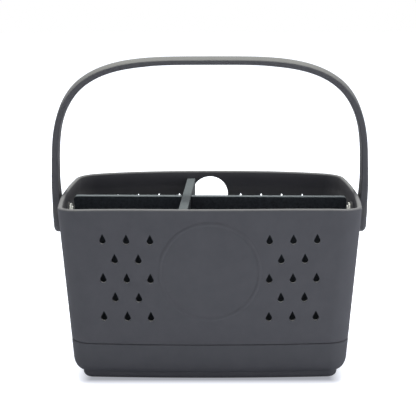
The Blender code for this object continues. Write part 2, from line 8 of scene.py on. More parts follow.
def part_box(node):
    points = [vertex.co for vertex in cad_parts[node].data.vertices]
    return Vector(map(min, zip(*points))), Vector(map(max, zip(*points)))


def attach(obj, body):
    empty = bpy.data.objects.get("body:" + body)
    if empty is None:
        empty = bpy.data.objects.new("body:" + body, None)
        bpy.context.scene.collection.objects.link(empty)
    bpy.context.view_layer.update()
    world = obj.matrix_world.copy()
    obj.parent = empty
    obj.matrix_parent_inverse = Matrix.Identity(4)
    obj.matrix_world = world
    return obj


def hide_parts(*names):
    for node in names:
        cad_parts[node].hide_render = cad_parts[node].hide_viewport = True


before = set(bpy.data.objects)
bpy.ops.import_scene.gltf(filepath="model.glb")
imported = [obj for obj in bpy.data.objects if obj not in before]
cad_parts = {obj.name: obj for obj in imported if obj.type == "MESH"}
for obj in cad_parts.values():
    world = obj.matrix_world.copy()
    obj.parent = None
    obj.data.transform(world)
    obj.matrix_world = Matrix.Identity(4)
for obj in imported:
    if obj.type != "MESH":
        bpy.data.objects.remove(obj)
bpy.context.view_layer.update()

bl_info = {
    "name": "Bath Caddy",
    "version": (1, 0, 0),
    "blender": (4, 5, 0),
    "location": "View3D > Sidebar > Caddy",
    "description": "Models a divided bath caddy with its drip tray, swinging handle and a small studio",
    "category": "Add Mesh",
}

# The construction model's own box, kept before anything is added
BASKET_LOW, BASKET_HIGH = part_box("basket")
TRAY_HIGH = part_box("drip_tray")[1]
HANDLE_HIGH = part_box("handle")[1]
PIN_LOW, PIN_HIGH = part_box("right_pivot_pin")
WASHER_LOW, WASHER_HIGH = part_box("right_washer")
BLADE_LOW, BLADE_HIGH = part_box("long_divider")

# Steps along each outline
CORNER_STEPS = 12
LONG_STEPS = 40
SHORT_STEPS = 28
WALL_STEPS = 16
TURN_STEPS = 8
RIM_STEPS = 16
EDGE_STEPS = 4
HEAD_STEPS = 6
ROUND_STEPS = 64
ARCH_STEPS = 44
ARM_STEPS = 14
FACE_STEPS = 12

# Steps round each hole and along the ring, and across each rounded edge
DROP_STEPS = 40
FLOOR_HOLE_STEPS = 32
HANG_HOLE_STEPS = 96
RING_STEPS = 144
RING_SIDES = 16
BEVEL_STEPS = 3
HOLE_BEVEL_STEPS = 2
BLADE_CORNER_STEPS = 6

# Where the holes are: columns in pitches from the middle, rows from the top or in pitches
DROP_ROWS = 5
WIDE_COLUMNS = (2.5, 3.5, 4.5)
NARROW_COLUMNS = (3.0, 4.0)
BACK_EXTRA_COLUMN = 1.5
FLOOR_HOLES_LEFT = 3
FLOOR_HOLES_RIGHT = 5
FLOOR_HOLE_ROWS = (-2, -1, 1, 2)

# The tray's upright side has a ring at each of these shares of its height
TRAY_SIDE_SHARES = (0.33, 0.67)

# The handle's pads end just short of a point
LAST_PAD_ANGLE = math.radians(88)

# Shares of half the strap's width: its most rounding inside, and the flat of its inner face
MOST_ROUNDING = 0.4
INNER_FLAT = 0.3

# Shares of a pin's head: its rounding, of the thickness, and its flat middle, of the radius
HEAD_ROUNDING = 0.8
HEAD_FLAT = 0.4

# Edges sharper than these stay sharp in the shading, or get rounded
SHARP_ANGLE = math.radians(38)
ROUNDED_ANGLE = math.radians(55)

# How much the large faces count in the shading
FACE_WEIGHT = 60

# Points closer than this become one, and a skin's circle starts at this radius
MERGE_DISTANCE = 0.00001
START_RADIUS = 0.1

# Turns of an upright shape that lay it along each axis
ALONG = {"X": (0, math.pi / 2, 0), "Y": (math.pi / 2, 0, 0), "Z": (0, 0, 0)}

# Moulded plastic: soft clouds of tone, sheen that follows them, and fine grain
REFRACTION = 1.49
CLOUD_DETAIL = 5.0
CLOUD_ROUGHNESS = 0.6
CLOUD_RANGE = (0.3, 0.7)
SHEEN_SPREAD = 0.06
GRAIN_DETAIL = 2.0
GRAIN_STRENGTH = 0.5

# Painted highlight on faces that look up near each piece's top: how far up a face looks, how deep the full
# highlight reaches, how even it is and how pale
HIGHLIGHT_FACING = (0.25, 0.85)
FULL_HIGHLIGHT_DEPTH = 0.6
LEAST_HIGHLIGHT = 0.75
HIGHLIGHT_PALER = 3

# What each plastic has of its own: its colour in the finish, its pieces' top, its surface and its painted
# highlight
PLASTICS = {
    "basket_plastic": {"tint": "basket", "top": BASKET_HIGH.z, "roughness": 0.76, "painted_highlight": 0.22},
    "tray_plastic": {"tint": "tray", "top": TRAY_HIGH.z, "roughness": 0.76},
    "handle_plastic": {
        "tint": "handle", "top": HANDLE_HIGH.z, "roughness": 0.70, "highlight_depth": 0.10, "painted_highlight": 0.13, "grain": 0.7,
    },
    "pivot_plastic": {
        "tint": "pivot", "top": PIN_HIGH.z, "roughness": 0.38, "grain": 0.4, "mottle": 0.03, "gloss": 0.5,
    },
}
# The long divider's top gets a full painted highlight, the cross divider's a weak one
for divider, painted_highlight in (("long_divider", 1.0), ("cross_divider", 0.25)):
    PLASTICS[divider + "_plastic"] = {
        "tint": "divider", "top": BLADE_HIGH.z, "roughness": 0.72, "painted_highlight": painted_highlight, "grain": 1.2,
        "mottle": 0.30, "patch": 0.0026,
    }

# Tints of the studio
WARM_LIGHT = (0.99, 1.0, 0.84)
COOL_LIGHT = (0.97, 0.98, 1.0)
FLOOR_TINT = (0.82, 0.85, 1.0)
# The lift's bluish tint shows only beside the foot, as a painted blue in the shadow
LIFT_AND_PAINTED_SHADOW_TINT = (0.92, 0.94, 1.0)
FLOOR_ROUGHNESS = 0.9
FLOOR_DROP = 0.0002
SENSOR_WIDTH = 36.0


def length(description, default):
    """A size in metres, shown to a hundredth of a millimetre."""
    return bpy.props.FloatProperty(description=description, default=default, unit="LENGTH", precision=5)


def number(description, default):
    return bpy.props.FloatProperty(description=description, default=default, precision=4)


def rotation(description, default):
    return bpy.props.FloatProperty(description=description, default=default, subtype="ANGLE")


def colour(description, default):
    """A surface colour, as linear light."""
    return bpy.props.FloatVectorProperty(
        description=description, default=default, size=3, min=0.0, max=1.0, subtype="COLOR",
    )


def position(description, default):
    return bpy.props.FloatVectorProperty(
        description=description, default=default, size=3, subtype="TRANSLATION", precision=4,
    )


class CaddyBodySizes(bpy.types.PropertyGroup):
    """The outline and the walls that the basket and the drip tray share."""

    rim_half_length: length("From the middle to the end of the rim", BASKET_HIGH.x)
    rim_half_depth: length("From the middle to the back of the rim", BASKET_HIGH.y)
    seam_half_length: length("From the middle to the end of the seam with the tray", TRAY_HIGH.x)
    seam_half_depth: length("From the middle to the back of the seam with the tray", TRAY_HIGH.y)
    end_bow: length("How far each end bows out", 0.0059)
    rim_long_bow: length("How far the front and the back bow out at the rim", 0.0122)
    seam_long_bow: length("How far they bow out at the seam", 0.0080)
    foot_long_bow: length("How far they bow out at the tray's foot", 0.0045)
    corner_radius: length("Upright corners of the body", 0.0190)
    least_corner: length("Upright corners on the inside, at the least", 0.0060)
    rim_crown: length("How far the rim rises at its middle", 0.0031)
    crown_power: number("How flat the crown's middle is", 3.5)
    foot_height: length("Height of the tray's foot ring", 0.0079)
    turn_height: length("Where the tray's side turns upright", 0.0230)
    seam_height: length("Top of the drip tray", TRAY_HIGH.z)
    floor_bottom: length("Underside of the basket", BASKET_LOW.z)
    floor_thickness: length("Thickness of the basket's floor", 0.0030)
    basket_wall: length("Thickness of the basket's wall", 0.0031)
    rim_thickness: length("Thickness of the rounded rim", 0.0046)
    rim_blend: length("Height over which the wall thickens to the rim", 0.0160)
    basket_turn: length("Radius between the floor and the wall", 0.0070)
    lower_inset: length("How far the basket's foot lies inside the seam", 0.0050)
    shoulder_inset: length("Tray wall and its gap to the basket", 0.0030)
    shoulder_blend: length("Height over which the wall steps in at the seam", 0.0080)
    seam_edge: length("Rounding along both sides of the seam", 0.0013)
    rest_gap: length("Gap between pieces that touch", 0.0003)
    tray_wall: length("Thickness of the tray's wall", 0.0024)
    tray_floor: length("Thickness of the tray's floor", 0.0025)
    tray_lean: length("How far the tray's side leans in", 0.0014)
    foot_inset: length("How far the foot lies inside the seam", 0.0104)
    foot_edge: length("Rounding of the foot", 0.0056)
    foot_wall: length("Thickness of the foot ring", 0.0027)


class CaddyHoleSizes(bpy.types.PropertyGroup):
    """Drain holes, the hanging hole and the plain ring on the front."""

    drop_radius: length("Round end of each drain drop", 0.00325)
    drop_height: length("From the bottom of each drop to its tip", 0.0106)
    drop_tip: length("Rounding of each tip", 0.0005)
    drop_pitch: length("Between columns of drops", 0.02339)
    drop_row_pitch: length("Between rows of drops", 0.0198)
    drop_top_row: length("Height of the highest row of drops", 0.1459)
    floor_hole_radius: length("Drain holes in the floor", 0.0032)
    floor_hole_pitch: length("Between drain holes in the floor", 0.0270)
    floor_hole_start: length("From the cross divider to the nearest drain hole", 0.0310)
    hang_hole_radius: length("Round hole in the back wall", 0.0203)
    hang_hole_height: length("Height of that hole's middle", 0.1521)
    hole_edge: length("Rounding of the moulded edges", 0.0004)
    ring_radius: length("Plain raised ring on the front", 0.0490)
    ring_height: length("Height of the ring's middle", 0.1149)
    ring_width: length("Width of the raised line", 0.0044)
    ring_relief: length("How far the line stands proud", 0.0005)
    ring_root: length("How far the line reaches into the wall", 0.0012)
    ring_sink: length("How far the line's edges start inside the wall", 0.00004)


class CaddyHandleSizes(bpy.types.PropertyGroup):
    """The carrying handle and its pivots."""

    pivot_height: length("Height of both pivots", (PIN_LOW.z + PIN_HIGH.z) / 2)
    pad_radius: length("Round end of each arm", 0.0165)
    pad_inner: length("Distance out of the pad's flat face", 0.15486)
    pad_thickness: length("Thickness of each pad", 0.0100)
    pad_edge: length("Rounding of the pad's outer edge", 0.0042)
    grip_rise: length("Middle of the grip above the pivots", 0.1650)
    arm_bow: length("How far the arms bow out past the pads' middle", 0.0031)
    arm_bow_rise: length("Where the arms bow out most, above the pivots", 0.0423)
    arm_bow_power: number("How fast the bow comes in towards the pad", 1.5)
    arch_power_out: number("Squareness of the arch sideways", 3.70)
    arch_power_up: number("Squareness of the arch upwards", 3.18)
    width: length("Width of the strap, from front to back", 0.0240)
    grip_thickness: length("Thickness at the middle of the grip", 0.0076)
    bend_thickness: length("Thickness round the bends", 0.0083)
    bend_drop: length("Where the bends are thickest, below the grip", 0.0240)
    arm_thickness: length("Thickness of the arms", 0.0058)
    arm_drop: length("Where the arms get thin, below the grip", 0.0710)
    arm_foot_rise: length("Where the arms thicken again, above the pivots", 0.0660)
    strap_foot: length("Thickness of the strap where it meets the pads", 0.0094)
    grip_crown: length("Crown of the outer face on the grip and the bends", 0.0032)
    arm_crown: length("Crown of the outer face on the arms", 0.0004)
    grip_edge: length("Rounding along the outer face on the grip and the bends", 0.0009)
    arm_edge: length("Rounding along the outer face on the arms", 0.0022)
    inner_edge: length("Rounding along the inner face", 0.0012)
    arm_fullness: length("How far the arms' inner face swells inwards", 0.0010)
    grip_fullness: length("How far it swells inwards at the middle of the grip", 0.0005)
    grip_drop: length("Where the grip gets as full as the arms, below its middle", 0.0020)
    flare: length("Fillet between each arm and its pad", 0.0050)
    flare_rise: length("Height over which the pad's face becomes the arm's", 0.0230)
    boss_radius: length("Flat round boss that each pivot passes through", 0.0150)
    pin_radius: length("Shank of each pivot pin", 0.0040)
    pin_hole_depth: length("Blind hole in each pad", 0.0065)
    press_gap: length("Gap round each pin in its pad", 0.0001)
    pin_head_thickness: length("Head of each pivot pin", 0.0013)
    washer_edge: length("Rounding of each washer", 0.0004)


class CaddyDividerSizes(bpy.types.PropertyGroup):
    """The two crossed dividers."""

    thickness: length("Across each blade", 0.0092)
    wall: length("Thickness of each blade's skin", 0.0016)
    turn: rotation("How far the pair stands turned", math.radians(-1.7))
    low: length("Underside of both blades", BLADE_LOW.z)
    top: length("Top of both blades", BLADE_HIGH.z)
    long_half_top: length("Half the long blade along its top", 0.14447)
    long_half_foot: length("Half the long blade along its foot", 0.1336)
    cross_half_top: length("Half the cross blade along its top", 0.11221)
    cross_half_foot: length("Half the cross blade along its foot", 0.0969)
    cross_offset: length("Place of the cross blade", -0.0247)
    corner: length("Rounding of the upper corners", 0.0040)
    foot_bevel: length("Bevel of the lower corners", 0.0060)
    edge: length("Rounding of the long edges", 0.0009)
    lap_gap: length("Clearance in the half lap", 0.0004)


class CaddyFinish(bpy.types.PropertyGroup):
    """Colours and moulded grain."""

    basket: colour("Basket plastic", (0.107, 0.107, 0.122))
    tray: colour("Drip tray plastic", (0.104, 0.105, 0.119))
    handle: colour("Handle plastic", (0.118, 0.118, 0.131))
    divider: colour("Divider plastic", (0.052, 0.059, 0.070))
    pivot: colour("Plastic of the pins and washers", (0.92, 0.92, 0.96))
    gloss: number("Reflection of the grey plastics seen straight on", 0.12)
    grain_size: number("Moulded grains to the metre", 2600.0)
    grain_depth: length("Depth of the moulded grain", 0.00006)


class CaddyStudio(bpy.types.PropertyGroup):
    """Camera and light."""

    camera_place: position("Where the camera stands", (0.0028, -1.3503, 0.4180))
    camera_yaw: rotation("Turn of the camera to the right", -0.0036)
    camera_pitch: rotation("Tilt of the camera downwards", 0.1906)
    camera_roll: rotation("Turn of the camera about its view", -0.0021)
    focal_length: number("In millimetres, on the sensor's width", 112.19)
    floor_half: length("Half of the pale floor's side", 6.0)
    floor_tone: number("How pale the floor is", 0.55)
    # A lower lift beside the foot darkens the floor there: a painted contact shadow over the real one
    lift_near: number("How far the floor is lifted to white beside the foot", 0.33)
    lift_far: number("How far it is lifted away from the foot", 1.1)
    shadow_reach: length("How far out from the foot the shadow shows", 0.0165)
    sky: number("Level of the light from the upper sky", 0.25)
    horizon: number("Level of the light from round about", 1.32)
    horizon_low: number("Sine of the elevation where that light starts to fade", 0.03)
    horizon_high: number("Sine of the elevation where it has faded", 0.26)
    top_light: number("Power of the softbox overhead", 150.0)
    top_place: position("Middle of the softbox overhead", (0.0, 0.33, 3.0))
    top_width: length("Width of the softbox overhead", 1.3)
    top_depth: length("Depth of the softbox overhead", 0.9)
    right_light: number("Power of the softbox at the right", 4.0)
    right_place: position("Middle of the softbox at the right", (1.4, -0.7, 0.14))
    right_width: length("Width of the softbox at the right", 0.8)
    right_height: length("Height of the softbox at the right", 0.25)
    aim_height: length("Height on the caddy that both softboxes face", 0.12)


def between(low, high, share):
    return low + (high - low) * share


def eased(share):
    """A share from 0 to 1 that starts and ends gently."""
    share = min(max(share, 0.0), 1.0)
    return share * share * (3 - 2 * share)


def quarter_turn(steps):
    return [math.pi / 2 * step / steps for step in range(steps + 1)]


def rounded_edge(rim, face, radius, steps=EDGE_STEPS):
    """Places round an edge, from its rim to its face, as distances along the face and out of it."""
    places = []
    for angle in quarter_turn(steps):
        along = rim - abs(radius) * (1 - math.cos(angle))
        places.append((along, face + radius * (1 - math.sin(angle))))
    return places


def rim_start(body):
    """Height where the wall runs into the rounded rim."""
    return BASKET_HIGH.z - body.rim_crown - body.rim_thickness / 2


def share_at(body, height):
    """0 at the seam and 1 at the rim: how far the wall has widened."""
    return max(0.0, (height - body.seam_height) / (rim_start(body) - body.seam_height))


def half_sizes_at(body, share):
    """Half the length and half the depth, bows included."""
    half_length = between(body.seam_half_length, body.rim_half_length, share)
    return half_length, between(body.seam_half_depth, body.rim_half_depth, share)


def long_bow_at(body, height, share):
    """How far the long sides bow out: least at the foot, most at the rim."""
    bow = between(body.foot_long_bow, body.seam_long_bow, min(height / body.seam_height, 1.0))
    return bow + (body.rim_long_bow - body.seam_long_bow) * share


def straight_outline(core_x, core_y, radius):
    """A rounded rectangle before its sides are bowed, from the right end round by the back."""
    points = []
    for quarter, (side_x, side_y) in enumerate(((1, 1), (-1, 1), (-1, -1), (1, -1))):
        for step in range(CORNER_STEPS + 1):
            angle = math.pi / 2 * (quarter + step / CORNER_STEPS)
            points.append(Vector((
                side_x * (core_x - radius) + radius * math.cos(angle),
                side_y * (core_y - radius) + radius * math.sin(angle),
            )))
        if quarter % 2 == 0:
            side_steps = LONG_STEPS
            along = Vector((-2 * (core_x - radius), 0))
        else:
            side_steps = SHORT_STEPS
            along = Vector((0, -2 * (core_y - radius)))
        if quarter > 1:
            along.negate()
        start = points[-1]
        points += [start + along * step / side_steps for step in range(1, side_steps)]
    return points


def plan_ring(body, height, inset=0.0, share=None):
    """One horizontal outline of the caddy: a rounded rectangle with its four sides bowed out."""
    share = share_at(body, height) if share is None else share
    half_length, half_depth = half_sizes_at(body, share)
    long_bow = long_bow_at(body, height, share)
    core_x = half_length - inset - body.end_bow
    core_y = half_depth - inset - long_bow
    ring = []
    for x, y in straight_outline(core_x, core_y, max(body.corner_radius - inset, body.least_corner)):
        bowed_x = x * (1 + body.end_bow / core_x * (1 - (y / core_y) ** 2))
        bowed_y = y * (1 + long_bow / core_y * (1 - (x / core_x) ** 2))
        crown = body.rim_crown * share * (1 - abs(bowed_x / body.rim_half_length) ** body.crown_power)
        ring.append(Vector((bowed_x, bowed_y, height + crown)))
    return ring


def turn_rings(body, height, rise, inset, width, steps=TURN_STEPS, share=None):
    """Outlines of a quarter turn, from level and its width further in to upright at its inset."""
    rings = []
    for angle in quarter_turn(steps):
        further_in = inset + width * (1 - math.sin(angle))
        rings.append(plan_ring(body, height + rise * (1 - math.cos(angle)), further_in, share))
    return rings


def front_wall(body, x, height):
    """Y of the front wall's outer face."""
    share = share_at(body, height)
    half_length, half_depth = half_sizes_at(body, share)
    return -(half_depth - long_bow_at(body, height, share) * (x / (half_length - body.end_bow)) ** 2)


def pick(thing):
    """Make one piece the only selected one."""
    bpy.ops.object.select_all(action="DESELECT")
    thing.select_set(True)
    bpy.context.view_layer.objects.active = thing


def primitive(operator, **settings):
    """Add one primitive as the only selected piece."""
    bpy.ops.object.select_all(action="DESELECT")
    operator(**settings)
    return bpy.context.object


def apply_modifier(thing, kind, **settings):
    """Put one modifier on a piece, set it and apply it."""
    pick(thing)
    modifier = thing.modifiers.new(kind.lower(), kind)
    for name, value in settings.items():
        setattr(modifier, name, value)
    bpy.ops.object.modifier_apply(modifier=modifier.name)


def draw_to(thing, place, ring):
    """Move the selected points of a mesh in edit mode onto an outline."""
    shape = bmesh.from_edit_mesh(thing.data)
    layer = shape.verts.layers.int[place]
    for corner in shape.verts:
        if corner.select:
            corner.co = ring[corner[layer]]
    bmesh.update_edit_mesh(thing.data)


def close_shape():
    """Turn every face of a mesh in edit mode outwards, and leave edit mode."""
    bpy.ops.mesh.select_all(action="SELECT")
    bpy.ops.mesh.normals_make_consistent(inside=False)
    bpy.ops.object.mode_set(mode="OBJECT")


def skin(name, rings, endless=False):
    """A skin through a run of outlines: a circle, extruded to each next outline in turn.

    The ends stay closed, or with endless set the last outline is bridged to the first.
    """
    thing = primitive(
        bpy.ops.mesh.primitive_circle_add, vertices=len(rings[0]), radius=START_RADIUS,
        fill_type="NOTHING" if endless else "NGON",
    )
    thing.name = name
    place = "place_on_outline"
    layer = thing.data.attributes.new(place, "INT", "POINT")
    layer.data.foreach_set("value", list(range(len(rings[0]))))
    bpy.ops.object.mode_set(mode="EDIT")
    bpy.ops.mesh.select_all(action="SELECT")
    draw_to(thing, place, rings[0])
    for ring in rings[1:]:
        bpy.ops.mesh.extrude_region_move()
        draw_to(thing, place, ring)
    if endless:
        bpy.ops.mesh.select_all(action="DESELECT")
        bpy.ops.mesh.select_non_manifold(extend=False)
        bpy.ops.mesh.bridge_edge_loops()
    close_shape()
    thing.data.attributes.remove(thing.data.attributes[place])
    return thing


def turned(name, profile, side, pivot_height, endless=False):
    """A round piece on one pivot's axis, from radii and distances out along X."""
    rings = []
    for radius, out in profile:
        ring = []
        for step in range(ROUND_STEPS):
            angle = 2 * math.pi * step / ROUND_STEPS
            ring.append(Vector((
                side * out, radius * math.cos(angle), pivot_height + radius * math.sin(angle),
            )))
        rings.append(ring)
    return skin(name, rings, endless)


def copies(thing, places):
    """One mesh that holds a copy of a piece at each place."""
    made = []
    for place in places:
        copy = thing.copy()
        copy.data = thing.data.copy()
        copy.location = place
        bpy.context.collection.objects.link(copy)
        made.append(copy)
    bpy.data.objects.remove(thing)
    bpy.ops.object.select_all(action="DESELECT")
    for copy in made:
        copy.select_set(True)
    bpy.context.view_layer.objects.active = made[0]
    bpy.ops.object.join()
    bpy.ops.object.transform_apply()
    return bpy.context.object


def cut(thing, cutter, operation="DIFFERENCE"):
    """Cut a piece with another, or join the two, and remove the other."""
    apply_modifier(thing, "BOOLEAN", object=cutter, operation=operation, solver="EXACT")
    bpy.data.objects.remove(cutter)


def rod(radius, start, end, axis, vertices=ROUND_STEPS):
    """A round cutter along X, Y or Z."""
    return primitive(
        bpy.ops.mesh.primitive_cylinder_add, vertices=vertices, radius=radius,
        depth=(Vector(end) - Vector(start)).length, location=(Vector(start) + Vector(end)) / 2,
        rotation=ALONG[axis],
    )


def work_pivots(thing, handle, radius, inner, outer, operation="DIFFERENCE"):
    """Cut a round hole at both pivots, or join a round boss there."""
    for side in (-1, 1):
        start = (side * inner, 0, handle.pivot_height)
        end = (side * outer, 0, handle.pivot_height)
        cut(thing, rod(radius, start, end, "X"), operation)


def soften(thing, width, segments):
    """Round the moulded edges and shade the piece smooth."""
    apply_modifier(
        thing, "BEVEL", width=width, segments=segments, limit_method="ANGLE", angle_limit=ROUNDED_ANGLE,
        use_clamp_overlap=True,
    )
    shade(thing)


def shade(thing):
    """Smooth shading that keeps the large faces flat."""
    pick(thing)
    bpy.ops.object.transform_apply()
    bpy.ops.object.shade_smooth_by_angle(angle=SHARP_ANGLE)
    apply_modifier(thing, "WEIGHTED_NORMAL", keep_sharp=True, weight=FACE_WEIGHT)


def finish_piece(thing, body, node, plastic):
    """Dress a piece in its plastic and let it stand for its construction node."""
    material = bpy.data.materials.get(plastic)
    if material is None:
        material = moulded_plastic(plastic, **PLASTICS[plastic])
    thing.data.materials.clear()
    thing.data.materials.append(material)
    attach(thing, body)
    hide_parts(node)


def set_inputs(tree, node, inputs):
    """Link a node's inputs to other nodes' outputs, or give them fixed values."""
    for name, value in inputs.items():
        if isinstance(value, bpy.types.NodeSocket):
            tree.links.new(value, node.inputs[name])
        else:
            node.inputs[name].default_value = value


def add_node(tree, kind, inputs=None, **settings):
    node = tree.nodes.new("ShaderNode" + kind)
    for name, value in settings.items():
        setattr(node, name, value)
    set_inputs(tree, node, inputs or {})
    return node


def add_sum(tree, kind, operation, *terms):
    """One sum, by a Math or a VectorMath node, as that node's outputs."""
    return add_node(tree, kind, dict(enumerate(terms)), operation=operation).outputs


def map_range(tree, value, start, end):
    """Carry a value from one range over to another, held at both ends."""
    ends = zip(("From Min", "From Max", "To Min", "To Max"), (*start, *end))
    return add_node(tree, "MapRange", {"Value": value, **dict(ends)}).outputs["Result"]


def new_material(name):
    material = bpy.data.materials.new(name)
    material.use_nodes = True
    return material, material.node_tree


def moulded_plastic(
    name, tint, top, roughness, highlight_depth=0.0095, painted_highlight=0.15, grain=1.0, mottle=0.05, patch=0.018, gloss=None,
):
    """Matte moulded plastic: fine grain, faint mottling in tone and gloss, and a painted highlight near its
    top.

    Faces that look up within the highlight depth below the top are painted a little paler, as a painted
    highlight.
    """
    finish = bpy.context.scene.caddy_finish
    tint = getattr(finish, tint)
    material, tree = new_material(name)
    place = add_node(tree, "TexCoord").outputs
    cloud = add_node(tree, "TexNoise", {
        "Vector": place["Object"], "Scale": 1.0 / patch, "Detail": CLOUD_DETAIL,
        "Roughness": CLOUD_ROUGHNESS,
    }).outputs["Fac"]
    tone = add_node(tree, "ValToRGB", {"Fac": cloud})
    for stop, level, change in zip(tone.color_ramp.elements, CLOUD_RANGE, (-mottle, mottle)):
        stop.position = level
        stop.color = (*[value * (1 + change) for value in tint], 1.0)

    # Painted highlight: upward faces near the top, made uneven by the clouds, are mixed towards a paler
    # tint
    facing = add_node(tree, "SeparateXYZ", {"Vector": place["Normal"]}).outputs["Z"]
    height = add_node(tree, "SeparateXYZ", {"Vector": place["Object"]}).outputs["Z"]
    upward = map_range(tree, facing, HIGHLIGHT_FACING, (0.0, painted_highlight))
    near_top = map_range(tree, height, (top - highlight_depth, top - highlight_depth * FULL_HIGHLIGHT_DEPTH), (0.0, 1.0))
    uneven = map_range(tree, cloud, CLOUD_RANGE, (LEAST_HIGHLIGHT, 1.0))
    highlight_mask = add_sum(tree, "Math", "MULTIPLY", upward, near_top)["Value"]
    patchy_highlight = add_sum(tree, "Math", "MULTIPLY", highlight_mask, uneven)["Value"]
    pale = (*[min(1.0, value * HIGHLIGHT_PALER) for value in tint], 1.0)
    shown = {"Factor": patchy_highlight, "A": tone.outputs["Color"], "B": pale}

    pits = add_node(tree, "TexNoise", {
        "Vector": place["Object"], "Scale": finish.grain_size, "Detail": GRAIN_DETAIL,
    })
    bump = add_node(tree, "Bump", {
        "Height": pits.outputs["Fac"], "Strength": GRAIN_STRENGTH * grain, "Distance": finish.grain_depth,
    })
    sheen = (roughness - SHEEN_SPREAD, roughness + SHEEN_SPREAD)
    set_inputs(tree, tree.nodes["Principled BSDF"], {
        "Base Color": add_node(tree, "Mix", shown, data_type="RGBA").outputs["Result"],
        "Roughness": map_range(tree, cloud, (0.0, 1.0), sheen),
        "Normal": bump.outputs["Normal"],
        "IOR": REFRACTION,
        "Specular IOR Level": finish.gloss if gloss is None else gloss,
    })
    return material


def drop_cutter(holes, depth):
    """A drain drop as a prism along Y: a circle with its top drawn up to a soft point."""
    drop = primitive(
        bpy.ops.mesh.primitive_circle_add, vertices=DROP_STEPS, radius=holes.drop_radius,
        fill_type="NGON", rotation=ALONG["Y"],
    )
    bpy.ops.object.transform_apply()
    tip = holes.drop_height - holes.drop_radius
    tangent_height = holes.drop_radius ** 2 / tip
    bpy.ops.object.mode_set(mode="EDIT")
    shape = bmesh.from_edit_mesh(drop.data)
    for corner in shape.verts:
        corner.select_set(corner.co.z > tangent_height)
    shape.select_flush(False)
    for corner in shape.verts:
        if corner.select:
            corner.co = (0.0, corner.co.y, tip)
    bmesh.update_edit_mesh(drop.data)
    bpy.ops.mesh.remove_doubles(threshold=MERGE_DISTANCE)
    bpy.ops.mesh.bevel(offset=holes.drop_tip, segments=BEVEL_STEPS, affect="VERTICES")
    bpy.ops.mesh.select_all(action="SELECT")
    bpy.ops.mesh.extrude_region_move(TRANSFORM_OT_translate={"value": (0.0, depth, 0.0)})
    close_shape()
    return drop


def drop_places(holes, y, extra_columns):
    """Middles of the drops on one long wall, on both sides of its middle."""
    places = []
    for row in range(DROP_ROWS):
        columns = NARROW_COLUMNS if row % 2 else WIDE_COLUMNS
        if row == 0:
            columns = extra_columns + columns
        for column in columns:
            for side in (-1, 1):
                x = side * column * holes.drop_pitch
                places.append(Vector((x, y, holes.drop_top_row - holes.drop_row_pitch * row)))
    return places


